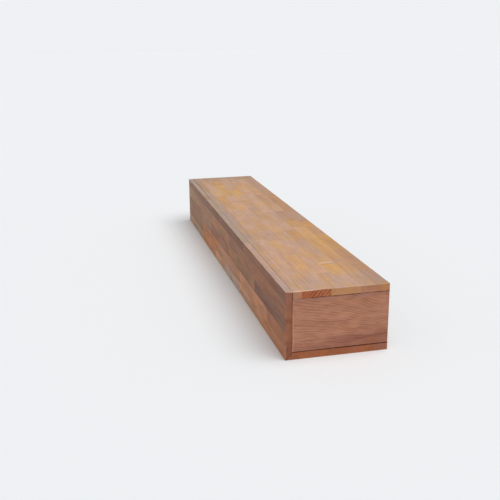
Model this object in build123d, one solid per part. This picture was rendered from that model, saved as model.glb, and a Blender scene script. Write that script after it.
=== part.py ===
from build123d import *
import os

# A floating mantel shelf: a hollow beam glued up from five boards, open at the back so that it
# slides over a cleat on the wall. X runs along the shelf, Y from the front face to the wall and
# Z up. The origin is in the middle of the underside.

# Overall size
shelf_length = 1524.0
shelf_depth = 280.0
shelf_height = 185.0

# Board stock
front_thickness = 18.0
top_thickness = 20.0
bottom_thickness = 20.0
cap_thickness = 20.0

# The seam along the top, left open between the front board and the top board
seam_gap = 0.8
seam_arris = 0.8

# Sanded edges
long_edge_radius = 1.6  # the beam's four outer long edges
end_arris = 0.8  # the flat broken around both ends of the beam
cap_arris = 1.4  # the flat broken around the outside of an end cap

# Planes that the boards share
front_face = -shelf_depth / 2
wall_face = shelf_depth / 2
front_inside = front_face + front_thickness
top_inside = shelf_height - top_thickness
right_end = shelf_length / 2


def rectangle(low_corner, high_corner):
    """A rectangle in the end view, given by two corners as (Y, Z)."""
    width = high_corner[0] - low_corner[0]
    height = high_corner[1] - low_corner[1]
    return Pos(*low_corner) * Rectangle(width, height, align=(Align.MIN, Align.MIN))


def along_shelf(section):
    """A section of the end view, drawn out to the length of the shelf."""
    return extrude(Plane.YZ * section, shelf_length / 2, both=True)


def beam():
    """The outside of the shelf, with its long edges sanded round and both ends broken."""
    outline = rectangle((front_face, 0), (wall_face, shelf_height))
    solid = along_shelf(fillet(outline.vertices(), long_edge_radius))
    faces = solid.faces().sort_by(Axis.X)
    return chamfer(faces[0].edges() + faces[-1].edges(), end_arris)


def front_board():
    """Full height: its top edge is part of the shelf's top, and its lower edge is mitred."""
    mitre_outside = (front_face, 0)
    mitre_inside = (front_inside, bottom_thickness)
    top_inner_corner = (front_inside, shelf_height)
    top_outer_corner = (front_face, shelf_height)
    section = Polygon(mitre_outside, mitre_inside, top_inner_corner, top_outer_corner, align=None)
    seam_corner = section.vertices().group_by(Axis.X)[-1].sort_by(Axis.Y)[-1]
    return beam() & along_shelf(chamfer(seam_corner, seam_arris))


def top_board():
    """Lies behind the front board, over the end caps."""
    section = rectangle((front_inside + seam_gap, top_inside), (wall_face, shelf_height))
    seam_corner = section.vertices().group_by(Axis.X)[0].sort_by(Axis.Y)[-1]
    return beam() & along_shelf(chamfer(seam_corner, seam_arris))


def bottom_board():
    """Full depth, mitred to the front board."""
    mitre_outside = (front_face, 0)
    mitre_inside = (front_inside, bottom_thickness)
    back_inner_corner = (wall_face, bottom_thickness)
    back_outer_corner = (wall_face, 0)
    section = Polygon(mitre_outside, mitre_inside, back_inner_corner, back_outer_corner, align=None)
    return beam() & along_shelf(section)


def end_cap():
    """The right end's cap, set in between the long boards and flush with their ends."""
    section = rectangle((front_inside, bottom_thickness), (wall_face, top_inside))
    cap = extrude(Plane.YZ.offset(right_end) * section, -cap_thickness)
    outside = cap.faces().sort_by(Axis.X)[-1]
    return chamfer(outside.edges(), cap_arris)


right_cap = end_cap()

boards = {
    "front_board": front_board(),
    "top_board": top_board(),
    "bottom_board": bottom_board(),
    "end_cap_right": right_cap,
    "end_cap_left": mirror(right_cap, about=Plane.YZ),
}

os.makedirs("parts", exist_ok=True)
for name, board in boards.items():
    export_step(board, f"parts/{name}.step")
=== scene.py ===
import math
import random
from collections import namedtuple

import bmesh
import bpy
from mathutils import Matrix, Vector, noise


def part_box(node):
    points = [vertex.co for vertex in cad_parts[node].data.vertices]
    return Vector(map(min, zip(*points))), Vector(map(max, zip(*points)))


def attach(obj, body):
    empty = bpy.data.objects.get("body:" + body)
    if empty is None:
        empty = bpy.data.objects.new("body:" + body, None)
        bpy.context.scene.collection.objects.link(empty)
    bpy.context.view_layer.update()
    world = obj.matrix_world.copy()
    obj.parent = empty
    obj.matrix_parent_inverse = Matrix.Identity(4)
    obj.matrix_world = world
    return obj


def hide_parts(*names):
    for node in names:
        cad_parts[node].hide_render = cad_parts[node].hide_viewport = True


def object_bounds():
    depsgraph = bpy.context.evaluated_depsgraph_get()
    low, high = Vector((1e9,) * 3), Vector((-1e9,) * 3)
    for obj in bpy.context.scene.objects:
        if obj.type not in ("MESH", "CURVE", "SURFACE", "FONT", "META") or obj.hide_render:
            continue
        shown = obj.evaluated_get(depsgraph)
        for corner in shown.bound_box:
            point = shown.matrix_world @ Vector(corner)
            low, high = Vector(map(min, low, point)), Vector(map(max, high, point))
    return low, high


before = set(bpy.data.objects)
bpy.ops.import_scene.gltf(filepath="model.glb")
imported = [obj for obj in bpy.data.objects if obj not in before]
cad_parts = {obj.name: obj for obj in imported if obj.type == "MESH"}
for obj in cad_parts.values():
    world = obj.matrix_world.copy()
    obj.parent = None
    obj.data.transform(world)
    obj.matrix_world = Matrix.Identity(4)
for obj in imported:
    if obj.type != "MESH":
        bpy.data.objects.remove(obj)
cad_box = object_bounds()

# Real places, in metres, read from the frame. X runs along the shelf, Y from front to wall, Z up.
low, high = cad_box
front_board_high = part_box("front_board")[1]
top_board_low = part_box("top_board")[0]
cap_low, cap_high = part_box("end_cap_right")

MM = 0.001
LENGTH = high.x - low.x
HEIGHT = high.z - low.z
FRONT, WALL = low.y, high.y
FLOOR, SHELF_TOP = low.z, high.z
FRONT_INSIDE = front_board_high.y
SEAM_BACK = top_board_low.y
SEAM_MIDDLE = (FRONT_INSIDE + SEAM_BACK) / 2
TOP_INSIDE, BOTTOM_INSIDE = cap_high.z, cap_low.z
CAP_OUTSIDE = cap_high.x
SAME_PLACE = MM / 100  # two places nearer than this are one
UPWARD, ENDWARD = 0.6, 0.9  # a face's normal passes these on the top and on the ends

# Edges
LONG_EDGE_RADIUS = 1.6 * MM
ARC_STEPS = 5
END_ARRIS = 0.8 * MM
END_ARRIS_ANGLES = (0, 30, 60, 90)
SEAM_ARRIS = 0.8 * MM
MOST_WEAR = 0.45 * MM
DENTS, SMALL_DENTS = 11, 37  # per metre
SMALL_DENT_SHARE = 0.5
SHARP_ANGLE = 32

# Staves and their joints
STAVE_WIDTH = 40 * MM
TOP_FIRST_JOINT = WALL - 6 * STAVE_WIDTH
TOP_FIRST_SHIFT = 3.0 * MM  # the row beside the seam is a little wider than the others leave it
FRONT_LOWEST_JOINT = 35.5 * MM
FILLER_LENGTH = (140, 420)
LEAST_FILLER = 70 * MM
LEAST_GAP = 30 * MM  # a shorter gap between chosen staves goes to the next of them
JOINT_HALF_WIDTH = 0.5 * MM
JOINT_DEPTH = 0.12 * MM
OPEN_JOINT_DEPTH = 0.35 * MM
OPEN_JOINT_MARK = 1.0
SHUT_JOINT_MARK = 0.17  # how dark a tight joint is beside an open one

# Growth rings, where they turn about a heart outside the stave
HEART_REACH = (60, 170)
GRAIN_SHIFT = (-20, 20)  # how far each stave's grain is moved along X, so no two are alike
STAVE_LIGHT = (0.975, 1.025)
RING_PITCH = (3.4 * MM, 6.0 * MM)
RING_STRENGTH = (0.10, 0.42)
END_RING_PITCH = 7.6 * MM
END_RING_STRENGTH = {"brick": 1.2, "clay red": 1.2, "plain": 0.3}
END_HEARTS = {
    "brick": Vector((0, 0.93, -0.36)) * 150 * MM,
    "clay red": Vector((0, 0.98, -0.10)) * 120 * MM,
}
END_HEARTS["plain"] = END_HEARTS["brick"]

# How finely the boards are divided, and how near a joint the even divisions may come
LENGTH_STEP = 14 * MM
LENGTH_CLEARANCE = 3 * MM
SECTION_STEP = 9 * MM
SECTION_CLEARANCE = 2 * MM

SEED = 41


def srgb(red, green, blue):
    """A colour written as it looks on a screen, 0 to 255, turned into linear light."""
    def linear(c):
        c /= 255
        return c / 12.92 if c <= 0.04045 else ((c + 0.055) / 1.055) ** 2.4
    return (linear(red), linear(green), linear(blue), 1.0)


# The timber's tones, as they look in plain light: the top's, the front's and the end grain's.
TONES = {name: srgb(*seen) for name, seen in {
    "tan": (183, 142, 110),
    "rose": (188, 147, 117),
    "fawn": (171, 132, 104),
    "drab": (174, 140, 119),
    "dusk": (163, 126, 96),
    "ginger": (175, 129, 90),
    "bronze": (186, 140, 98),
    "amber": (188, 140, 86),
    "honey": (197, 149, 86),
    "straw": (196, 151, 108),
    "ash": (163, 139, 120),
    "blush": (181, 145, 122),
    "clay": (163, 129, 104),
    "pale": (204, 163, 130),
    "sand": (203, 156, 114),

    "walnut": (145, 98, 62),
    "umber": (134, 86, 54),
    "coffee": (128, 78, 50),
    "brown": (152, 95, 62),
    "smoke": (133, 86, 62),
    "chestnut": (160, 103, 67),
    "cedar": (167, 113, 71),
    "hazel": (162, 115, 78),
    "olive": (172, 129, 83),
    "slate": (162, 118, 88),
    "dun": (180, 139, 110),
    "rust": (192, 123, 68),
    "russet": (182, 116, 78),
    "copper": (203, 141, 100),
    "salmon": (191, 136, 102),
    "peach": (206, 157, 128),
    "pebble": (200, 163, 142),

    "hide": (185, 130, 98),
    "wheat": (195, 142, 101),
    "brick": (176, 101, 64),
    "clay red": (181, 111, 78),
    "brandy": (160, 102, 75),
    "maroon": (152, 92, 66),
    "cocoa": (165, 100, 70),
}.items()}


def mm(from_left):
    """A place along X, given in millimetres from the left end."""
    return low.x + from_left * MM


# Staves

class Staves:
    """The rows of glued staves of one board: where each starts and ends, its tones and its rings."""

    def __init__(self, axis, joints, chosen, usual, end_tones, seed, open_joints=(), edge=()):
        self.axis, self.joints, self.rows = axis, joints, len(joints) + 1
        self.draw = random.Random(seed)
        self.usual, self.end_tones = usual, end_tones
        self.open_joints = [(row, mm(start), mm(end)) for row, start, end in open_joints]
        self.lists = [self.lay_row(chosen.get(row, [])) for row in range(self.rows)]
        self.edge = self.lay_row(edge) if edge else None

    def stave(self, start, end, tone, end_tone):
        """A span along X, a colour at each end, and the heart, pitch and strength of its growth rings."""
        light = self.draw.uniform(*STAVE_LIGHT)
        turn = self.draw.uniform(0, 2 * math.pi)
        reach = self.draw.uniform(*HEART_REACH) * MM
        shift = self.draw.uniform(*GRAIN_SHIFT)
        heart = Vector((shift, math.cos(turn) * reach, math.sin(turn) * reach))
        colours = [Vector(TONES[t][:3]) * light for t in (tone, end_tone)]
        rings = (self.draw.uniform(*RING_PITCH), self.draw.uniform(*RING_STRENGTH), 0.0)
        return {"start": start, "end": end, "colours": colours, "heart": heart, "rings": rings}

    def lay_row(self, chosen):
        """Chosen staves lie where they are named, and others of mixed lengths fill what is left."""
        named = sorted((mm(start), mm(end), *tones) for start, end, *tones in chosen)
        staves = []
        place = low.x
        tone = self.draw.choice(self.usual)
        for start, end, *tones in named + [(high.x, high.x)]:
            while start - place > LEAST_GAP:
                reach = place + self.draw.uniform(*FILLER_LENGTH) * MM
                if start - reach < LEAST_FILLER:
                    reach = start
                next_tone = self.draw.choice(self.usual)
                staves.append(self.stave(place, reach, tone, next_tone))
                place, tone = reach, self.draw.choice(self.usual)
            if tones:
                staves.append(self.stave(place, end, tones[0], tones[-1]))
                place = end
        staves[-1]["end"] = high.x
        return staves

    def row_of(self, point):
        return sum(point[self.axis] > joint for joint in self.joints)

    def at(self, point, normal):
        """The stave at a point. The board's top edge may have a list of its own."""
        row = self.edge if self.edge and normal.z > UPWARD else self.lists[self.row_of(point)]
        return next((stave for stave in row if point.x <= stave["end"]), row[-1])

    def ends(self, row):
        return [stave["end"] for stave in self.lists[row][:-1]]

    def is_open(self, point):
        """True on a joint that has opened: a length of the row's far side, or the row's cross joint."""
        for row, start, end in self.open_joints:
            on_side = abs(point[self.axis] - self.joints[row]) < SAME_PLACE and start < point.x < end
            on_cross = start == end and abs(point.x - start) < SAME_PLACE and self.row_of(point) == row
            if on_side or on_cross:
                return True
        return False


# Board sections, as points (Y, Z) in clockwise order

def corner_arc(y_side, z_side, start, end):
    """A rounded long edge of the beam, between two angles in degrees. A side is -1 or 1."""
    centre_y = FRONT + LONG_EDGE_RADIUS if y_side < 0 else WALL - LONG_EDGE_RADIUS
    centre_z = FLOOR + LONG_EDGE_RADIUS if z_side < 0 else SHELF_TOP - LONG_EDGE_RADIUS
    angles = [math.radians(start + (end - start) * k / ARC_STEPS) for k in range(ARC_STEPS + 1)]
    return [Vector((centre_y + LONG_EDGE_RADIUS * math.cos(a), centre_z + LONG_EDGE_RADIUS * math.sin(a)))
            for a in angles]


MITRE_INSIDE = Vector((FRONT_INSIDE, BOTTOM_INSIDE))


def front_section():
    seam_edge = [Vector((FRONT_INSIDE - SEAM_ARRIS, SHELF_TOP)),
                 Vector((FRONT_INSIDE, SHELF_TOP - SEAM_ARRIS))]
    return corner_arc(-1, -1, 225, 180) + corner_arc(-1, 1, 180, 90) + seam_edge + [MITRE_INSIDE]


def top_section():
    seam_edge = [Vector((SEAM_BACK, SHELF_TOP - SEAM_ARRIS)), Vector((SEAM_BACK + SEAM_ARRIS, SHELF_TOP))]
    underside = [Vector((WALL, TOP_INSIDE)), Vector((SEAM_BACK, TOP_INSIDE))]
    return seam_edge + corner_arc(1, 1, 90, 0) + underside


def bottom_section():
    inside = [MITRE_INSIDE, Vector((WALL, BOTTOM_INSIDE))]
    return inside + corner_arc(1, -1, 360, 270) + corner_arc(-1, -1, 270, 225)


def divided(section, axis, joints):
    """Adds points to the straight sides of a section: three at each joint, and others evenly between."""
    points = []
    for here, after in zip(section, section[1:] + section[:1]):
        points.append(here)
        run = (after - here).length
        shares = []
        for joint in joints:
            if min(here[axis], after[axis]) < joint < max(here[axis], after[axis]):
                middle = (joint - here[axis]) / (after[axis] - here[axis])
                shares += [middle - JOINT_HALF_WIDTH / run, middle, middle + JOINT_HALF_WIDTH / run]
        count = int(run / SECTION_STEP)
        for k in range(1, count):
            share = k / count
            if all(abs(share - s) * run > SECTION_CLEARANCE for s in shares):
                shares.append(share)
        points += [here.lerp(after, share) for share in sorted(shares)]
    return points


def outward(section):
    """The outward direction at each point of a section that is listed clockwise."""
    normals = []
    for before, here, after in zip(section[-1:] + section[:-1], section, section[1:] + section[:1]):
        sides = [(here - before).normalized(), (after - here).normalized()]
        turned = sum((Vector((-side.y, side.x)) for side in sides), Vector((0, 0)))
        normals.append(turned.normalized())
    return normals


# Boards

def stations(staves):
    """Places along X where a board's sections lie: three at each stave end, and others evenly between."""
    ends = sorted({end for row in range(staves.rows) for end in staves.ends(row)})
    places = [end + shift for end in ends for shift in (-JOINT_HALF_WIDTH, 0, JOINT_HALF_WIDTH)]
    count = int(LENGTH / LENGTH_STEP)
    for k in range(1, count):
        place = low.x + LENGTH * k / count
        if all(abs(place - p) > LENGTH_CLEARANCE for p in places):
            places.append(place)
    from_end = [END_ARRIS * (1 - math.cos(math.radians(a))) for a in END_ARRIS_ANGLES]
    return [low.x + d for d in from_end] + sorted(places) + [high.x - d for d in reversed(from_end)]


def end_inset(x):
    """How far the outside is drawn in at a place along X, for the rounded arris at the beam's ends."""
    inner = max(0.0, END_ARRIS - (LENGTH / 2 - abs(x)))
    return END_ARRIS - math.sqrt(max(0.0, END_ARRIS ** 2 - inner ** 2))


def drawn_in(point, amount):
    """Moves a point of the beam's outside in, at right angles to the outside."""
    y = max(FRONT + LONG_EDGE_RADIUS, min(WALL - LONG_EDGE_RADIUS, point.x))
    z = max(FLOOR + LONG_EDGE_RADIUS, min(SHELF_TOP - LONG_EDGE_RADIUS, point.y))
    core = Vector((y, z))
    outside = point - core
    reach = LONG_EDGE_RADIUS - amount
    if outside.length > reach:
        outside = outside.normalized() * reach
    return core + outside


def rubbed(place):
    """How far a worn edge has gone down at a place: mostly nothing, now and then a soft dent."""
    dent = noise.noise(place * DENTS) + SMALL_DENT_SHARE * noise.noise(place * SMALL_DENTS)
    return MOST_WEAR * max(0.0, min(1.0, dent))


def near_outer_edge(x, point):
    """True on the beam's rounded long edges and on the arris at its ends."""
    on_y = min(point.x - FRONT, WALL - point.x) < LONG_EDGE_RADIUS
    on_z = min(point.y - FLOOR, SHELF_TOP - point.y) < LONG_EDGE_RADIUS
    on_x = LENGTH / 2 - abs(x) < END_ARRIS
    return (on_y and on_z) or (on_x and (on_y or on_z))


def drawn_out(section, staves):
    """A divided section's points at every station, and how dark a joint each of them lies on."""
    across = staves.axis - 1
    normals = outward(section)
    on_joint = [any(abs(p[across] - j) < SAME_PLACE for j in staves.joints) for p in section]
    row_ends = [set(staves.ends(row)) for row in range(staves.rows)]
    vertices, joint_marks = [], []
    for x in stations(staves):
        for point, normal, joint in zip(section, normals, on_joint):
            spot = Vector((x, point.x, point.y))
            sunk, mark = 0.0, 0.0
            if joint or x in row_ends[staves.row_of(spot)]:
                opened = staves.is_open(spot)
                sunk = OPEN_JOINT_DEPTH if opened else JOINT_DEPTH
                mark = OPEN_JOINT_MARK if opened else SHUT_JOINT_MARK
            if near_outer_edge(x, point):
                sunk += rubbed(spot)
            moved = drawn_in(point, end_inset(x)) - normal * sunk
            vertices.append((x, moved.x, moved.y))
            joint_marks.append(mark)
    return vertices, joint_marks


def skin(section, staves, point_count):
    """Faces along the board, and one face at each end for every row of staves."""
    count = len(section)
    faces = []
    for here in range(0, point_count - count, count):
        beyond = here + count
        for k in range(count):
            after = (k + 1) % count
            faces.append((here + k, beyond + k, beyond + after, here + after))
    limits = [-math.inf] + staves.joints + [math.inf]
    places = [point[staves.axis - 1] for point in section]
    last = point_count - count
    for start, end in zip(limits, limits[1:]):
        inside = [k for k in range(count) if start - SAME_PLACE < places[k] < end + SAME_PLACE]
        faces.append(inside)
        faces.append([last + k for k in reversed(inside)])
    return faces


def board(name, section, staves, material):
    """Draws a section along X, with grooved joints and rubbed edges, and dresses it in its staves."""
    section = divided(section, staves.axis - 1, staves.joints)
    vertices, joint_marks = drawn_out(section, staves)
    mesh = bpy.data.meshes.new(name)
    mesh.from_pydata(vertices, [], skin(section, staves, len(vertices)))
    write(mesh, "joint", "FLOAT", "POINT", "value", joint_marks)
    dress_staves(mesh, staves)
    piece(name, mesh, material)


def write(mesh, name, kind, domain, key, values):
    """Adds one attribute to a mesh and fills it."""
    mesh.attributes.new(name, kind, domain)
    mesh.attributes[name].data.foreach_set(key, values)


def dress_staves(mesh, staves):
    """Writes each corner's stave colour, rings and end grain, which the wood's nodes read."""
    colours, hearts, rings, ends = [], [], [], []
    centre = Vector((0, (FRONT + WALL) / 2, (FLOOR + SHELF_TOP) / 2))
    row_tops = staves.joints + [staves.joints[-1] + STAVE_WIDTH]
    for face in mesh.polygons:
        stave = staves.at(face.center, face.normal)
        row = staves.row_of(face.center)
        middle = centre.copy()
        middle[staves.axis] = row_tops[row] - STAVE_WIDTH / 2
        on_end = abs(face.normal.x) > ENDWARD
        end_name = staves.end_tones[face.center.x > 0][row]
        end_tone = Vector(TONES[end_name][:3])
        end_kind = end_name if end_name in END_HEARTS else "plain"
        end_rings = (END_RING_PITCH, END_RING_STRENGTH[end_kind], 0.0)
        for vertex in face.vertices:
            share = (mesh.vertices[vertex].co.x - stave["start"]) / (stave["end"] - stave["start"])
            colour = stave["colours"][0].lerp(stave["colours"][1], max(0, min(1, share)))
            colours += [*(end_tone if on_end else colour), 1.0]
            hearts += [*(middle + (END_HEARTS[end_kind] if on_end else stave["heart"]))]
            rings += [*(end_rings if on_end else stave["rings"])]
            ends.append(float(on_end))
    write(mesh, "stave_colour", "FLOAT_COLOR", "CORNER", "color", colours)
    write(mesh, "stave_heart", "FLOAT_VECTOR", "CORNER", "vector", hearts)
    write(mesh, "stave_rings", "FLOAT_VECTOR", "CORNER", "vector", rings)
    write(mesh, "end_grain", "FLOAT", "CORNER", "value", ends)


# End caps

CAP_ARRIS = {"front": 1.4 * MM, "wall": 1.4 * MM, "top": 1.2 * MM, "bottom": 2.2 * MM}
RIB_PITCH = 6.7 * MM
RIB_DEPTH = 0.2 * MM
RIB_STEP_Z = 0.6 * MM
RIB_STEP_Y = 3.5 * MM
RIB_SHARPNESS = 0.6  # how much narrower a ridge is than the groove beside it
RIB_STRENGTH, RIB_UNEVENNESS = 0.75, 1.4
GRAIN_FALL = (0.08, 0.30)  # how steeply the grain falls towards the wall, at the bottom and at the top
GRAIN_BEND = 0.9  # how much steeper it gets, per metre towards the wall
GRAIN_DRIFT, GRAIN_FLUTTER = 5.0 * MM, 1.8 * MM


def unevenness(y, z, y_scale, z_scale, layer):
    """Smooth noise from about -1 to 1 over the cap. Layers have nothing to do with each other."""
    return noise.noise(Vector((y * y_scale, z * z_scale, layer)))


def grain_height(y, z):
    """The height at which the grain line through a place crosses the middle of the cap."""
    up = (z - BOTTOM_INSIDE) / (TOP_INSIDE - BOTTOM_INSIDE)
    from_middle = y - (FRONT_INSIDE + WALL) / 2
    slope = GRAIN_FALL[0] + (GRAIN_FALL[1] - GRAIN_FALL[0]) * up + GRAIN_BEND * from_middle / 2
    drift = GRAIN_DRIFT * unevenness(y, z, 16, 24, 3.1)
    flutter = GRAIN_FLUTTER * unevenness(y, z, 50, 64, 8.7)
    return z + slope * from_middle + drift + flutter


def rib_shape(y, z):
    """The cap's ribbed grain: 0 on a ridge and 1 in a groove, for a place on its outside."""
    turn = 2 * math.pi * grain_height(y, z) / RIB_PITCH
    wave = 0.5 + 0.5 * math.sin(turn + RIB_SHARPNESS * math.sin(turn))
    strength = RIB_STRENGTH + RIB_UNEVENNESS * unevenness(y, z, 36, 80, 1.7)
    return max(0.0, min(1.0, wave * strength))


def cut_away(bm, point, outward_normal):
    """Cuts a convex solid by a plane, drops the side that the normal points to and closes the cut."""
    everything = bm.verts[:] + bm.edges[:] + bm.faces[:]
    cut = bmesh.ops.bisect_plane(bm, geom=everything, plane_co=point, plane_no=outward_normal,
                                 clear_outer=True)
    rim = [g for g in cut["geom_cut"] if isinstance(g, bmesh.types.BMEdge)]
    bmesh.ops.contextual_create(bm, geom=rim)


def score_outside(bm, point, across):
    """Divides the cap's outside face along a plane."""
    faces = [f for f in bm.faces if f.normal.x > 0.99]
    edges = list({e for f in faces for e in f.edges})
    corners = list({v for f in faces for v in f.verts})
    bmesh.ops.bisect_plane(bm, geom=corners + edges + faces, plane_co=point, plane_no=across,
                           dist=MM / 1000)


def cap_block():
    """The right cap as a plain block, its outside edges broken and its outside face divided."""
    bm = bmesh.new()
    bmesh.ops.create_cube(bm, size=1)
    size = cap_high - cap_low
    place = Matrix.Translation((cap_low + cap_high) / 2) @ Matrix.Diagonal((*size, 1))
    bmesh.ops.transform(bm, matrix=place, verts=bm.verts)
    back, up, right = Vector((0, 1, 0)), Vector((0, 0, 1)), Vector((1, 0, 0))
    cut_away(bm, Vector((CAP_OUTSIDE, FRONT_INSIDE + CAP_ARRIS["front"], 0)), right - back)
    cut_away(bm, Vector((CAP_OUTSIDE, WALL - CAP_ARRIS["wall"], 0)), right + back)
    cut_away(bm, Vector((CAP_OUTSIDE, 0, TOP_INSIDE - CAP_ARRIS["top"])), right + up)
    cut_away(bm, Vector((CAP_OUTSIDE, 0, BOTTOM_INSIDE + CAP_ARRIS["bottom"])), right - up)
    for k in range(1, int((TOP_INSIDE - BOTTOM_INSIDE) / RIB_STEP_Z)):
        score_outside(bm, up * (BOTTOM_INSIDE + k * RIB_STEP_Z), up)
    for k in range(1, int((WALL - FRONT_INSIDE) / RIB_STEP_Y)):
        score_outside(bm, back * (FRONT_INSIDE + k * RIB_STEP_Y), back)
    return bm


def end_cap(name, side, material):
    """A cap with its ribs cut into the outside. side is 1 at the right end and -1 at the left."""
    bm = cap_block()
    if side < 0:
        bmesh.ops.scale(bm, vec=(-1, 1, 1), verts=bm.verts)
    bmesh.ops.recalc_face_normals(bm, faces=bm.faces)
    mesh = bpy.data.meshes.new(name)
    bm.to_mesh(mesh)
    bm.free()

    depths, heights = [], []
    for vertex in mesh.vertices:
        y, z = vertex.co.y, vertex.co.z
        z = z if side > 0 else TOP_INSIDE + BOTTOM_INSIDE - z
        depths.append(rib_shape(y, z))
        heights.append(grain_height(y, z))
        if abs(vertex.co.x) > CAP_OUTSIDE - SAME_PLACE:
            vertex.co.x -= side * depths[-1] * RIB_DEPTH
    write(mesh, "rib", "FLOAT", "POINT", "value", depths)
    write(mesh, "grain_height", "FLOAT", "POINT", "value", heights)
    piece(name, mesh, material)


# What the woods' nodes are made from

# Noise: how often it varies per metre, in all directions or along X, Y and Z. What is drawn with it
# goes from low to high as the noise goes from start to end.
Pattern = namedtuple("Pattern", "scale detail roughness distortion start end low high",
                     defaults=(2.0, 0.5, 0.0, 0.0, 1.0, 0.0, 1.0))
PATTERNS = {
    "sway": Pattern((2.6, 8, 8)),
    "ripple": Pattern((14, 90, 90), detail=3),
    "faded rings": Pattern((6, 30, 30), start=0.3, end=0.6, low=0.2),
    "streak": Pattern((9, 110, 110), detail=4, roughness=0.6, start=0.36, end=0.70),
    "fibre": Pattern((28, 900, 900), detail=3, roughness=0.6, start=0.30, end=0.75),
    "pore": Pattern((110, 1900, 1900), detail=1, start=0.62, end=0.72),
    "cloud": Pattern((14, 24, 24), detail=3, roughness=0.6, start=0.3, end=0.7),
    "warmth": Pattern((11, 20, 20), start=0.42, end=0.66),
    "coolness": Pattern((16, 28, 28), start=0.46, end=0.66),
    "smudge": Pattern((8, 42, 42), detail=3, start=0.44, end=0.64),
    "seam greying": Pattern((12, 40, 40), detail=3, start=0.35, end=0.6, low=0.55),
    "glue": Pattern(12, start=0.35, end=0.6, low=0.3),
    "inner edge": Pattern(30, start=0.3, end=0.7, low=0.2, high=0.7),

    # where the worn edges and their painted highlights lie
    "edge wear and highlight width": Pattern(90, detail=3, start=0.3, end=0.7, low=1.2 * MM, high=4.0 * MM),
    "edge wear and highlight amount": Pattern(14, start=0.35, end=0.65, low=0.3),
    "line width": Pattern(45, detail=3, start=0.3, end=0.7, low=0.6, high=1.3),

    "wander": Pattern((10, 9, 26), detail=3),
    "cap amber": Pattern((20, 12, 44), start=0.5, end=0.66),
    "cap band": Pattern((20, 5, 70), detail=3, roughness=0.55, distortion=0.3, start=0.45, end=0.70),
    "cap streak": Pattern((40, 7, 230), detail=4, roughness=0.65, start=0.42, end=0.68),
    "hair": Pattern((300, 16, 850), detail=3, roughness=0.6, start=0.42, end=0.70, high=0.5),
    "fleck": Pattern((200, 70, 1700), detail=1, start=0.62, end=0.70, high=0.55),
}
LATE_WOOD = (-0.3, 0.9)  # the part of a ring's wave that darkens
RING_SWAY, RING_RIPPLE = 26 * MM, 3.2 * MM
STRONG_RING = 0.6  # end grain darkens once more where a ring is stronger than this

# Places between which something fades in from 0 to 1, or between the two amounts that follow
FADES = {
    "front face": (FRONT + 3 * MM, FRONT + MM),
    "top face": (SHELF_TOP - 2 * MM, SHELF_TOP - MM),
    "end faces": (LENGTH / 2 - 6 * MM, LENGTH / 2 - 3 * MM),
    "front board": (FRONT_INSIDE + MM, FRONT_INSIDE),
    "behind front board": (FRONT_INSIDE - MM, FRONT_INSIDE + MM),
    "behind seam": (FRONT_INSIDE, SEAM_BACK),

    "seam's height": (TOP_INSIDE - 3 * MM, TOP_INSIDE),
    "down in seam": (SHELF_TOP - 4 * MM, SHELF_TOP - 2 * MM, 1.0, 0.0),
    "far half of seam": (0.0, -LENGTH / 2, 0.0, 0.35),
    "under cap": (FRONT_INSIDE, WALL, 0.75, 1.0),
    "over cap": (-90 * MM, -60 * MM, 0.15, 0.85),
    "mitre's height": (BOTTOM_INSIDE + 2 * MM, BOTTOM_INSIDE),
    "mitre's depth": (FRONT_INSIDE + 2 * MM, FRONT_INSIDE),

    "lowest row": (FRONT_LOWEST_JOINT + 3 * MM, FRONT_LOWEST_JOINT - 3 * MM),
    "near an end": (LENGTH / 2 - 160 * MM, LENGTH / 2 - 20 * MM),
    "beside seam": (SEAM_BACK + 30 * MM, SEAM_BACK + 4 * MM),
    "greyer length": (mm(1240), mm(1120)),
    "inner edge": (FRONT_INSIDE - 8 * MM, FRONT_INSIDE - 2 * MM),
    "rubbed line starts": (mm(1120), mm(1200)),
    "rubbed line stops": (mm(1490), mm(1440)),
    "seam's arrises": (2.2 * MM, 1.4 * MM),
    "pale seam arrises start": (mm(180), mm(420)),
    "right arris": (high.x - 3 * MM, high.x - 0.5 * MM),
    "upper arris": (SHELF_TOP - 2.2 * MM, SHELF_TOP - 0.8 * MM),
    "arris highlight starts": (FRONT_INSIDE - 12 * MM, FRONT_INSIDE),
    "arris highlight stops": (-40 * MM, -80 * MM),

    "cap shade": (67 * MM, 30 * MM),
    "cap shade across": (FRONT_INSIDE, WALL - 60 * MM, 0.75, 1.0),
    "dull top": (142 * MM, 164 * MM),
    "vein starts": (-20 * MM, 30 * MM),
    "amber across": (-60 * MM, 60 * MM, 0.4, 1.0),
    "bands upwards": (34 * MM, 64 * MM, 1.0, 0.5),
    "ribs upwards": (30 * MM, 70 * MM, 0.45, 0.78),
    "ribs across": (-110 * MM, 60 * MM, 0.84, 1.0),
    "cap arris highlight downwards": (140 * MM, 120 * MM),
}

# Lines and bands: half their width
HALF_WIDTHS = {
    "seam": 1.9 * MM,
    "under cap": 2.4 * MM,
    "over cap": 1.7 * MM,
    "mitre": 1.5 * MM,
    "upper band": 13 * MM,
    "lower band": 19 * MM,
    "rubbed line": 6 * MM,
    "vein": 6 * MM,
    "bare cap arris": 3.2 * MM,
}
CAP_GAP = 0.4 * MM  # the painted shade and dirt round a cap is this far inside the opening
UPPER_BAND, LOWER_BAND = 108 * MM, 47 * MM  # heights of the dark bands on the front board's end
RUBBED_LINE = TOP_FIRST_JOINT - 1.5 * MM
# where the painted highlight on the cap's front arris runs
CAP_ARRIS_HIGHLIGHT_PLACE = FRONT_INSIDE + 1.4 * MM
CAP_WANDER, SHADE_FALL = 40 * MM, 0.09
VEIN_HEIGHT, VEIN_RISE, VEIN_WANDER = 28 * MM, 0.07, 0.25

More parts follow.
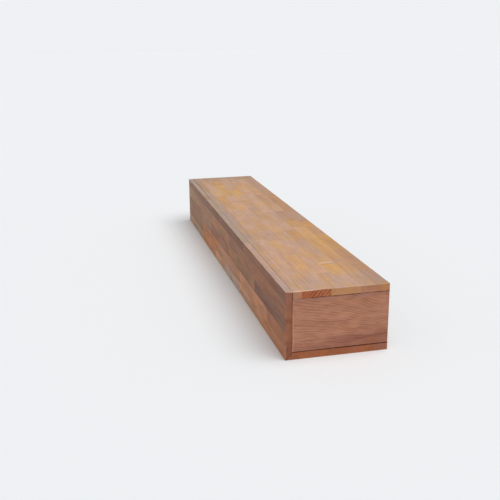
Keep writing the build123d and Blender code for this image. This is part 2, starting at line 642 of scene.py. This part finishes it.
# Layers that darken, warm or cool the wood: what they multiply red, green and blue by
TINTS = {
    "cloud": (1.13, 1.13, 1.14),
    "warmth": (1.05, 0.99, 0.76),
    "coolness": (0.94, 0.98, 1.14),
    "front face": (1.07, 1.07, 1.07),
    "smudge": (0.83, 0.81, 0.80),
    # painted bounce light from below, lifting the front's lowest row
    "lowest row": (1.06, 1.11, 1.15),
    "top face": (0.98, 1.005, 1.075),
    # bluer and paler on the top near the ends
    "bloom": (0.985, 1.03, 1.15),
    # greyer and cooler beside the seam
    "handled": (0.92, 0.99, 1.06),
    "ring": (0.74, 0.62, 0.54),
    "strong end ring": (0.66, 0.56, 0.50),
    "streak": (0.80, 0.74, 0.68),
    "fibre": (0.84, 0.78, 0.72),
    "pore": (0.55, 0.45, 0.38),
    "glue": (0.32, 0.24, 0.21),
    "inner edge": (0.72, 0.74, 0.78),
    "band": (0.75, 0.69, 0.69),
    # painted shade of the gaps between boards, with some dirt
    "dirt": (0.16, 0.11, 0.09),

    "cap amber": (1.04, 0.99, 0.88),
    "vein": (0.76, 0.68, 0.66),
    "cap band": (0.78, 0.71, 0.68),
    "rib": (0.68, 0.61, 0.57),
    "cap streak": (0.84, 0.79, 0.76),
    "hair": (0.70, 0.60, 0.54),
    "fleck": (0.55, 0.45, 0.38),
}

# Layers that cover the wood with a colour
COVERS = {name: srgb(*seen) for name, seen in {
    # worn edges with a painted highlight where the arrises catch the light
    "worn stave edge": (212, 178, 152),
    "rubbed line": (222, 184, 158),
    # painted highlight on the right end's upper arris
    "bright arris": (250, 205, 165),
    "bare seam": (240, 210, 186),

    "cap shade": (169, 113, 92),
    "dull top": (179, 127, 109),
    # worn cap edges with a painted highlight where they catch the light
    "worn cap edge": (212, 178, 152),
    # painted highlight on the cap's front arris
    "bare cap arris": (214, 158, 128),
}.items()}

# How strong the weaker layers are. The others have their full strength.
STRENGTHS = {
    "fibre": 0.35, "pore": 0.45, "worn stave edge": 0.42, "rubbed line": 0.26, "bright arris": 0.7,
    "bare seam": 0.22, "vein": 0.8, "cap streak": 0.5, "worn cap edge": 0.3, "bare cap arris": 0.6,
}
STREAK_STRENGTH, EXTRA_FRONT_STREAK = 0.24, 0.26
# how dark the painted shade and dirt along the mitres is
MITRE_SHADE_AND_DIRT = 0.8
CAP_COLOUR = srgb(194, 137, 110)

# Roughness: a plain amount, and how much each layer adds. Relief: how far each layer stands out.
STAVE_ROUGHNESS = {"streak": 0.07, "pore": 0.15, "end_grain": 0.10, "dirt": 0.2}
STAVE_RELIEF = {"ring": 0.4, "fibre": -0.3, "pore": -1.0}
CAP_ROUGHNESS = {"hair": 0.12}
CAP_RELIEF = {"hair": -0.5, "fleck": -0.5}
PLAIN_STAVE_ROUGHNESS, PLAIN_CAP_ROUGHNESS = 0.49, 0.52
STAVE_BUMP, CAP_BUMP = 0.06 * MM, 0.08 * MM
OIL_IOR, OIL_GLOSS = 1.5, 0.25


class Graph:
    """Short forms for the nodes of one material."""

    def __init__(self, material):
        material.use_nodes = True
        self.tree = material.node_tree
        self.tree.nodes.clear()
        self.place = self.node("ShaderNodeTexCoord").outputs["Object"]

    def node(self, kind, **settings):
        made = self.tree.nodes.new(kind)
        for key, value in settings.items():
            setattr(made, key, value)
        return made

    def put(self, socket, value):
        if isinstance(value, bpy.types.NodeSocket):
            self.tree.links.new(value, socket)
        elif value is not None:
            socket.default_value = value

    def fed(self, values, kind, **settings):
        """The output of a new node that has the values in its inputs, in order."""
        made = self.node(kind, **settings)
        for socket, value in zip(made.inputs, values):
            self.put(socket, value)
        return made.outputs[0]

    def math(self, operation, a, b=None, clamp=False):
        return self.fed((a, b), "ShaderNodeMath", operation=operation, use_clamp=clamp)

    def chain(self, operation, values):
        total = values[0]
        for value in values[1:]:
            total = self.math(operation, total, value)
        return total

    def add(self, *terms):
        return self.chain("ADD", terms)

    def times(self, *factors):
        return self.chain("MULTIPLY", factors)

    def most(self, *values):
        return self.chain("MAXIMUM", values)

    def less(self, a, b, clamp=False):
        return self.math("SUBTRACT", a, b, clamp)

    def apart(self, value, place):
        """How far a value lies from a place."""
        return self.math("ABSOLUTE", self.less(value, place))

    def parts(self, vector):
        made = self.node("ShaderNodeSeparateXYZ")
        self.put(made.inputs[0], vector)
        return made.outputs

    def join(self, x, y, z):
        return self.fed((x, y, z), "ShaderNodeCombineXYZ")

    def length(self, vector):
        made = self.node("ShaderNodeVectorMath", operation="LENGTH")
        self.put(made.inputs[0], vector)
        return made.outputs["Value"]

    def attribute(self, name, output):
        return self.node("ShaderNodeAttribute", attribute_name=name).outputs[output]

    def span(self, value, start, end, low_value=0.0, high_value=1.0):
        """Goes smoothly from one value to another as the input goes from start to end."""
        values = (value, start, end, low_value, high_value)
        return self.fed(values, "ShaderNodeMapRange", interpolation_type="SMOOTHSTEP")

    def fade(self, value, name):
        return self.span(value, *FADES[name])

    def noise(self, vector, name):
        """The plain noise of a named pattern."""
        pattern = PATTERNS[name]
        scale = pattern.scale
        if not isinstance(scale, (int, float)):
            scaled = [self.times(part, size) for part, size in zip(self.parts(vector), scale)]
            vector, scale = self.join(*scaled), 1.0
        made = self.node("ShaderNodeTexNoise")
        for key, value in (("Vector", vector), ("Scale", scale), ("Detail", pattern.detail),
                           ("Roughness", pattern.roughness), ("Distortion", pattern.distortion)):
            self.put(made.inputs[key], value)
        return made.outputs["Fac"]

    def drawn(self, noise_value, name):
        """How much there is of what a pattern draws, from its noise."""
        pattern = PATTERNS[name]
        return self.span(noise_value, pattern.start, pattern.end, pattern.low, pattern.high)

    def pattern(self, vector, name):
        return self.drawn(self.noise(vector, name), name)

    def paint(self, colour, name, amount):
        """Lays a named layer over a colour, by an amount from 0 to 1."""
        if name in STRENGTHS:
            amount = self.times(amount, STRENGTHS[name])
        blend, layer = ("MULTIPLY", (*TINTS[name], 1)) if name in TINTS else ("MIX", COVERS[name])
        made = self.node("ShaderNodeMix", data_type="RGBA", blend_type=blend)
        self.put(made.inputs["Factor"], amount)
        self.put(made.inputs[6], colour)
        self.put(made.inputs[7], layer)
        return made.outputs[2]

    def weighed(self, weights, layers, plain=None):
        """The sum of a plain amount and some layers, each times its weight."""
        terms = [] if plain is None else [plain]
        return self.add(*terms, *(self.times(layers[name], weight) for name, weight in weights.items()))

    def finish(self, colour, roughness, height, relief):
        bump = self.node("ShaderNodeBump")
        self.put(bump.inputs["Height"], height)
        bump.inputs["Strength"].default_value = 1.0
        bump.inputs["Distance"].default_value = relief
        shader = self.node("ShaderNodeBsdfPrincipled")
        self.put(shader.inputs["Base Color"], colour)
        self.put(shader.inputs["Roughness"], roughness)
        self.put(shader.inputs["Normal"], bump.outputs[0])
        shader.inputs["IOR"].default_value = OIL_IOR
        shader.inputs["Specular IOR Level"].default_value = OIL_GLOSS
        output = self.node("ShaderNodeOutputMaterial")
        self.tree.links.new(shader.outputs[0], output.inputs["Surface"])


# Masks: amounts from 0 to 1 that say where a layer lies

def edge_distance(g):
    """How far a point of the outside lies from the nearest outer edge, in metres."""
    x, y, z = g.parts(g.place)
    from_end = g.less(LENGTH / 2, g.math("ABSOLUTE", x))
    from_side = g.less(WALL, g.math("ABSOLUTE", y))
    from_flat = g.math("MINIMUM", z, g.less(HEIGHT, z))
    lesser = g.math("MINIMUM", from_end, from_side)
    greater = g.most(from_end, from_side)
    return g.most(lesser, g.math("MINIMUM", greater, from_flat))


def wear_and_edge_highlight(g):
    """Rubbed edges with painted highlights where they catch the light, broken up by noise."""
    share = g.math("DIVIDE", edge_distance(g), g.pattern(g.place, "edge wear and highlight width"))
    return g.times(g.less(1.0, share, clamp=True), g.pattern(g.place, "edge wear and highlight amount"))


def line(g, distance, name):
    """A named line or band, full in the middle. Its width wavers."""
    half_width = g.times(g.pattern(g.place, "line width"), HALF_WIDTHS[name])
    return g.less(1.0, g.math("DIVIDE", distance, half_width), clamp=True)


def at_ends(g, x):
    """The end faces."""
    return g.fade(g.math("ABSOLUTE", x), "end faces")


def joint_shade_and_dirt(g):
    """Painted shade of the gaps, with some dirt, where boards meet: the top seam, above and below the
    caps, and the mitres.
    """
    x, y, z = g.parts(g.place)
    end = at_ends(g, x)
    behind = g.fade(y, "behind front board")

    seam = g.times(line(g, g.apart(y, SEAM_MIDDLE), "seam"), g.fade(z, "seam's height"))
    seam = g.times(seam, g.most(g.fade(z, "down in seam"), g.fade(x, "far half of seam")))

    under_cap = line(g, g.apart(z, BOTTOM_INSIDE + CAP_GAP), "under cap")
    under_cap = g.times(under_cap, end, behind, g.fade(y, "under cap"))
    over_cap = line(g, g.apart(z, TOP_INSIDE - CAP_GAP), "over cap")
    over_cap = g.times(over_cap, end, behind, g.fade(y, "over cap"))

    depth, width = BOTTOM_INSIDE - FLOOR, FRONT_INSIDE - FRONT
    across = g.less(g.times(g.less(y, FRONT), depth), g.times(z, width))
    off_mitre = g.math("DIVIDE", g.math("ABSOLUTE", across), math.hypot(depth, width))
    below = g.times(g.fade(z, "mitre's height"), g.fade(y, "mitre's depth"))
    mitre = g.times(line(g, off_mitre, "mitre"), end, below, MITRE_SHADE_AND_DIRT)
    return g.most(seam, under_cap, over_cap, mitre)


def growth_rings(g, place):
    """Rings about each stave's own heart, stronger on the late wood."""
    _, y, z = g.parts(g.place)
    _, heart_y, heart_z = g.parts(g.attribute("stave_heart", "Vector"))
    pitch, strength, _ = g.parts(g.attribute("stave_rings", "Vector"))
    sway = g.times(g.less(g.noise(place, "sway"), 0.5), RING_SWAY)
    ripple = g.times(g.noise(place, "ripple"), RING_RIPPLE)
    off_heart = g.join(0.0, g.add(g.less(y, heart_y), sway), g.less(z, heart_z))
    turns = g.math("DIVIDE", g.add(g.length(off_heart), ripple), pitch)
    wave = g.span(g.math("SINE", g.times(turns, 2 * math.pi)), *LATE_WOOD)
    return g.times(wave, strength, g.pattern(place, "faded rings"))


def handled(g, top_face):
    """Where the top is greyer and cooler, along the seam."""
    x, y, _ = g.parts(g.place)
    beside = g.times(top_face, g.fade(y, "beside seam"), g.fade(y, "behind seam"))
    return g.times(beside, g.fade(x, "greyer length"), g.pattern(g.place, "seam greying"))


def inner_edge(g):
    """The shaded inner edge of the front board's ends."""
    x, y, _ = g.parts(g.place)
    strip = g.times(g.fade(y, "inner edge"), g.fade(y, "front board"))
    return g.times(strip, at_ends(g, x), g.pattern(g.place, "inner edge"))


def end_bands(g):
    """Two darker bands across the front board's ends."""
    x, y, z = g.parts(g.place)
    upper = line(g, g.apart(z, UPPER_BAND), "upper band")
    lower = line(g, g.apart(z, LOWER_BAND), "lower band")
    return g.times(g.most(upper, lower), at_ends(g, x), g.fade(y, "front board"))


def rubbed_line(g, top_face):
    """A pale worn line beside the first open joint of the top."""
    x, y, _ = g.parts(g.place)
    worn = g.times(line(g, g.apart(y, RUBBED_LINE), "rubbed line"), top_face)
    return g.times(worn, g.fade(x, "rubbed line starts"), g.fade(x, "rubbed line stops"))


def painted_arris_highlight(g):
    """A painted highlight on the upper arris of the right end, near the front corner."""
    x, y, z = g.parts(g.place)
    arris = g.times(g.fade(x, "right arris"), g.fade(z, "upper arris"))
    return g.times(arris, g.fade(y, "arris highlight starts"), g.fade(y, "arris highlight stops"))


def pale_seam_arrises(g, top_face):
    """The seam's two arrises, paler along most of the length."""
    x, y, _ = g.parts(g.place)
    arrises = g.times(top_face, g.fade(g.apart(y, SEAM_MIDDLE), "seam's arrises"))
    return g.times(arrises, g.fade(x, "pale seam arrises start"))


# Woods

def painted(g, colour, layers):
    """Lays layers over a colour in turn, each given as its name and amount."""
    for name, amount in layers:
        colour = g.paint(colour, name, amount)
    return colour


def stave_wood(name):
    """Oiled hardwood staves: rings about each stave's own heart, streaks, pores and a dull sheen."""
    material = bpy.data.materials.new(name)
    g = Graph(material)
    x, y, z = g.parts(g.place)
    shift = g.parts(g.attribute("stave_heart", "Vector"))[0]
    place = g.join(g.add(x, shift), y, z)

    front_face, top_face = g.fade(y, "front face"), g.fade(z, "top face")
    end_grain = g.attribute("end_grain", "Fac")
    ring = growth_rings(g, place)
    streak, fibre, pore = (g.pattern(place, name) for name in ("streak", "fibre", "pore"))
    streak_strength = g.add(STREAK_STRENGTH, g.times(front_face, EXTRA_FRONT_STREAK))
    # painted shade of the gaps between boards, with some dirt
    dirt = joint_shade_and_dirt(g)

    colour = painted(g, g.attribute("stave_colour", "Color"), [
        ("cloud", g.pattern(place, "cloud")),
        ("warmth", g.pattern(place, "warmth")),
        ("coolness", g.pattern(g.place, "coolness")),
        ("front face", front_face),
        ("smudge", g.times(front_face, g.pattern(place, "smudge"))),
        # painted bounce light from below, lifting the front's lowest row
        ("lowest row", g.times(front_face, g.fade(z, "lowest row"))),
        ("top face", top_face),
        ("bloom", g.times(top_face, g.fade(g.math("ABSOLUTE", x), "near an end"))),
        ("handled", handled(g, top_face)),
        ("ring", ring),
        ("strong end ring", g.times(g.less(ring, STRONG_RING, clamp=True), end_grain)),
        ("streak", g.times(streak, streak_strength)),
        ("fibre", fibre),
        ("pore", pore),
        ("glue", g.times(g.attribute("joint", "Fac"), g.pattern(g.place, "glue"))),
        ("inner edge", inner_edge(g)),
        ("band", end_bands(g)),
        # worn edges with a painted highlight where the arrises catch the light
        ("worn stave edge", wear_and_edge_highlight(g)),
        ("rubbed line", rubbed_line(g, top_face)),
        # painted highlight on the right end's upper arris
        ("bright arris", painted_arris_highlight(g)),
        ("bare seam", pale_seam_arrises(g, top_face)),
        # painted shade of the gaps between boards, with some dirt
        ("dirt", dirt),
    ])
    layers = dict(ring=ring, streak=streak, fibre=fibre, pore=pore, end_grain=end_grain, dirt=dirt)
    roughness = g.weighed(STAVE_ROUGHNESS, layers, PLAIN_STAVE_ROUGHNESS)
    g.finish(colour, roughness, g.weighed(STAVE_RELIEF, layers), STAVE_BUMP)
    return material


def cap_wood(name):
    """A plain board with level grain: its ribs follow the mesh, and darker bands drift across."""
    material = bpy.data.materials.new(name)
    g = Graph(material)
    x, y, z = g.parts(g.place)
    wander = g.times(g.less(g.noise(g.place, "wander"), 0.5), CAP_WANDER)
    level = g.add(z, wander)
    along_grain = g.join(x, y, g.attribute("grain_height", "Fac"))
    hair, fleck = g.noise(along_grain, "hair"), g.noise(along_grain, "fleck")

    shade = g.fade(g.less(level, g.times(y, SHADE_FALL)), "cap shade")
    rise = g.times(g.less(y, FRONT_INSIDE), VEIN_RISE)
    vein_height = g.add(VEIN_HEIGHT, rise, g.times(wander, VEIN_WANDER))
    vein = g.times(line(g, g.apart(z, vein_height), "vein"), g.fade(y, "vein starts"))
    rib = g.times(g.attribute("rib", "Fac"), g.fade(level, "ribs upwards"), g.fade(y, "ribs across"))
    # painted highlight on the cap's front arris
    cap_arris_highlight = g.times(line(g, g.apart(y, CAP_ARRIS_HIGHLIGHT_PLACE), "bare cap arris"), at_ends(g, x))

    colour = painted(g, CAP_COLOUR, [
        ("cap shade", g.times(shade, g.fade(y, "cap shade across"))),
        ("dull top", g.fade(level, "dull top")),
        ("cap amber", g.times(g.pattern(g.place, "cap amber"), g.fade(y, "amber across"))),
        ("vein", vein),
        ("cap band", g.times(g.pattern(g.place, "cap band"), g.fade(level, "bands upwards"))),
        ("rib", rib),
        ("cap streak", g.pattern(along_grain, "cap streak")),
        ("hair", g.drawn(hair, "hair")),
        ("fleck", g.drawn(fleck, "fleck")),
        # worn cap edges with a painted highlight where they catch the light
        ("worn cap edge", wear_and_edge_highlight(g)),
        ("bare cap arris", g.times(cap_arris_highlight, g.fade(z, "cap arris highlight downwards"))),
        # painted shade of the gaps round the cap, with some dirt
        ("dirt", joint_shade_and_dirt(g)),
    ])
    layers = dict(hair=hair, fleck=fleck)
    roughness = g.weighed(CAP_ROUGHNESS, layers, PLAIN_CAP_ROUGHNESS)
    g.finish(colour, roughness, g.weighed(CAP_RELIEF, layers), CAP_BUMP)
    return material


# Pieces

def piece(name, mesh, material):
    """Makes a finished mesh the piece that stands for its node of the frame."""
    mesh.materials.append(material)
    mesh.polygons.foreach_set("use_smooth", [True] * len(mesh.polygons))
    mesh.set_sharp_from_angle(angle=math.radians(SHARP_ANGLE))
    obj = bpy.data.objects.new(name + "_dressed", mesh)
    bpy.context.scene.collection.objects.link(obj)
    obj.modifiers.new("even_shading", "WEIGHTED_NORMAL").keep_sharp = True
    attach(obj, "root")
    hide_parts(name)


# Staves that stand out, by row: start and end in millimetres from the left end, and the tone, or the
# tone at each end. Rows of the top count from the front, and rows of the front from the bottom.
TOP_CHOSEN = {
    6: [(0, 70, "dusk"), (70, 400, "fawn"), (400, 690, "ginger"), (690, 840, "fawn"),
        (840, 925, "ginger", "amber"), (925, 1025, "bronze"), (1025, 1200, "amber"),
        (1200, 1524, "ginger", "fawn")],
    5: [(0, 65, "dusk"), (65, 400, "tan", "bronze"), (400, 690, "ginger", "tan"), (690, 830, "fawn"),
        (830, 920, "amber"), (920, 1025, "straw"), (1025, 1290, "honey", "bronze"),
        (1290, 1524, "bronze", "tan")],
    4: [(0, 190, "dusk", "tan"), (190, 255, "amber"), (690, 850, "tan"), (950, 1070, "bronze"),
        (1275, 1307, "straw"), (1307, 1324, "pale"), (1324, 1327, "dusk"),
        (1327, 1420, "honey", "straw")],
    3: [(0, 120, "dusk", "tan"), (120, 280, "tan"), (280, 400, "honey"), (480, 520, "bronze"),
        (880, 965, "straw"), (1150, 1400, "rose", "sand")],
    2: [(0, 80, "dusk"), (80, 180, "bronze", "amber"), (180, 395, "honey", "amber"),
        (520, 630, "straw"), (1060, 1140, "straw"), (1140, 1220, "rose"), (1220, 1345, "sand"),
        (1345, 1524, "sand", "rose")],
    1: [(0, 130, "dusk", "tan"), (130, 388, "tan", "straw"), (388, 610, "amber", "bronze")],
    0: [(0, 280, "dusk"), (280, 760, "drab"), (760, 1160, "drab", "tan"), (1160, 1524, "tan", "rose")],
}
TOP_USUAL = ["rose", "rose", "tan", "rose"]
FRONT_CHOSEN = {
    4: [(0, 350, "walnut", "umber"), (350, 680, "umber"), (680, 1060, "coffee"),
        (1060, 1524, "brown", "umber")],
    3: [(0, 260, "olive", "hazel"), (260, 500, "hazel"), (500, 840, "cedar"),
        (840, 1300, "chestnut"), (1300, 1524, "chestnut", "brown")],
    2: [(0, 310, "walnut", "chestnut"), (310, 520, "slate"), (520, 840, "brown"),
        (840, 960, "cedar"), (960, 1200, "walnut", "hazel"), (1200, 1510, "smoke")],
    1: [(0, 350, "walnut", "slate"), (350, 640, "rust"), (640, 1000, "salmon"),
        (1000, 1340, "copper"), (1340, 1524, "russet", "chestnut")],
    0: [(0, 350, "dun"), (350, 600, "rust", "copper"), (600, 800, "peach"), (800, 1000, "pebble"),
        (1000, 1250, "peach", "copper"), (1250, 1524, "copper", "russet")],
}
FRONT_EDGE = [(0, 355, "ash"), (355, 440, "clay"), (440, 1060, "ash"), (1060, 1524, "blush")]
FRONT_USUAL = ["brown", "chestnut", "cedar", "slate"]
BOTTOM_USUAL = ["chestnut", "cedar", "slate", "salmon", "dun"]

# Joints that have opened: row, start and end, which are the same for a joint across the row
TOP_OPEN_JOINTS = [(0, 1160, 1505), (4, 1327, 1327)]

# The end grain of each row, at the left end and at the right end
TOP_ENDS = (
    ["wheat", "hide", "brick", "wheat", "brandy", "hide", "wheat"],
    ["hide", "brick", "clay red", "wheat", "wheat", "hide", "hide"],
)
FRONT_ENDS = (
    ["brandy", "cocoa", "brick", "brandy", "cocoa"],
    ["maroon", "brandy", "brandy", "brandy", "brandy"],
)
BOTTOM_ENDS = (
    ["brandy", "cocoa", "brick", "cocoa", "brandy", "cocoa", "brandy"],
    ["cocoa", "cocoa", "cocoa", "cocoa", "cocoa", "cocoa", "brandy"],
)


def build():
    wood = stave_wood("stave_wood")
    cap = cap_wood("cap_wood")
    level_joints = [TOP_FIRST_JOINT + STAVE_WIDTH * k for k in range(6)]
    top_joints = [level_joints[0] + TOP_FIRST_SHIFT] + level_joints[1:]
    front_joints = [FRONT_LOWEST_JOINT + STAVE_WIDTH * k for k in range(4)]
    top = Staves(1, top_joints, TOP_CHOSEN, TOP_USUAL, TOP_ENDS, SEED, open_joints=TOP_OPEN_JOINTS)
    front = Staves(2, front_joints, FRONT_CHOSEN, FRONT_USUAL, FRONT_ENDS, SEED + 1, edge=FRONT_EDGE)
    bottom = Staves(1, level_joints, {}, BOTTOM_USUAL, BOTTOM_ENDS, SEED + 2)
    board("top_board", top_section(), top, wood)
    board("front_board", front_section(), front, wood)
    board("bottom_board", bottom_section(), bottom, wood)
    end_cap("end_cap_right", 1, cap)
    end_cap("end_cap_left", -1, cap)


# Stage

FLOOR_REACH = 30
FLOOR_COLOUR = (0.84, 0.86, 0.875, 1)
FLOOR_ROUGHNESS, FLOOR_GLOSS = 0.9, 0.2

SUN_STRENGTH = 2.35
SUN_SPREAD = 60
SUN_FROM = (0.28, 0.25, 1.0)
SURROUND_STRENGTH = 0.32
SURROUND_LIGHT = (1, 1, 1, 1)
SURROUND_SEEN = (0.86, 0.88, 0.895, 1)

CAMERA_PLACE = (2.4240, -0.6272, 0.8094)
CAMERA_AZIMUTH = 76.560
CAMERA_ELEVATION = 16.526
CAMERA_ROLL = -0.507
CAMERA_LENS = 53.172
SENSOR_WIDTH = 36


def floor():
    bm = bmesh.new()
    bmesh.ops.create_grid(bm, x_segments=1, y_segments=1, size=FLOOR_REACH)
    mesh = bpy.data.meshes.new("floor")
    bm.to_mesh(mesh)
    bm.free()
    material = bpy.data.materials.new("floor_paper")
    material.use_nodes = True
    shader = material.node_tree.nodes["Principled BSDF"]
    for key, value in (("Base Color", FLOOR_COLOUR), ("Roughness", FLOOR_ROUGHNESS),
                       ("Specular IOR Level", FLOOR_GLOSS)):
        shader.inputs[key].default_value = value
    mesh.materials.append(material)
    obj = bpy.data.objects.new("floor", mesh)
    bpy.context.scene.collection.objects.link(obj)


def overhead_light():
    """One wide, soft light from above, a little behind the shelf's near end."""
    sun = bpy.data.lights.new("soft_top_light", "SUN")
    sun.energy = SUN_STRENGTH
    sun.angle = math.radians(SUN_SPREAD)
    lamp = bpy.data.objects.new("soft_top_light", sun)
    lamp.rotation_mode = "QUATERNION"
    lamp.rotation_quaternion = Vector(SUN_FROM).to_track_quat("Z", "Y")
    bpy.context.scene.collection.objects.link(lamp)


def surround():
    """An even pale surround: a dim light on the object, and near white where it is seen or mirrored."""
    world = bpy.data.worlds.new("surround")
    bpy.context.scene.world = world
    world.use_nodes = True
    tree = world.node_tree
    tree.nodes.clear()

    def either(a, b):
        made = tree.nodes.new("ShaderNodeMath")
        made.operation = "MAXIMUM"
        tree.links.new(a, made.inputs[0])
        tree.links.new(b, made.inputs[1])
        return made.outputs[0]

    def background(colour, strength):
        made = tree.nodes.new("ShaderNodeBackground")
        made.inputs["Color"].default_value = colour
        made.inputs["Strength"].default_value = strength
        return made.outputs[0]

    rays = tree.nodes.new("ShaderNodeLightPath").outputs
    mirrored = either(rays["Is Glossy Ray"], rays["Is Transmission Ray"])
    choose = tree.nodes.new("ShaderNodeMixShader")
    output = tree.nodes.new("ShaderNodeOutputWorld")
    tree.links.new(either(rays["Is Camera Ray"], mirrored), choose.inputs[0])
    tree.links.new(background(SURROUND_LIGHT, SURROUND_STRENGTH), choose.inputs[1])
    tree.links.new(background(SURROUND_SEEN, 1.0), choose.inputs[2])
    tree.links.new(choose.outputs[0], output.inputs["Surface"])


def camera():
    """Stands where the photograph was taken from."""
    data = bpy.data.cameras.new("camera")
    data.lens = CAMERA_LENS
    data.sensor_width = SENSOR_WIDTH
    obj = bpy.data.objects.new("camera", data)
    turn = Matrix.Rotation(math.radians(CAMERA_AZIMUTH), 4, "Z")
    tip = Matrix.Rotation(math.radians(90 - CAMERA_ELEVATION), 4, "X")
    roll = Matrix.Rotation(math.radians(CAMERA_ROLL), 4, "Z")
    obj.matrix_world = Matrix.Translation(CAMERA_PLACE) @ turn @ tip @ roll
    bpy.context.scene.collection.objects.link(obj)
    bpy.context.scene.camera = obj


build()
floor()
overhead_light()
surround()
camera()
bpy.context.scene.view_settings.view_transform = "Standard"
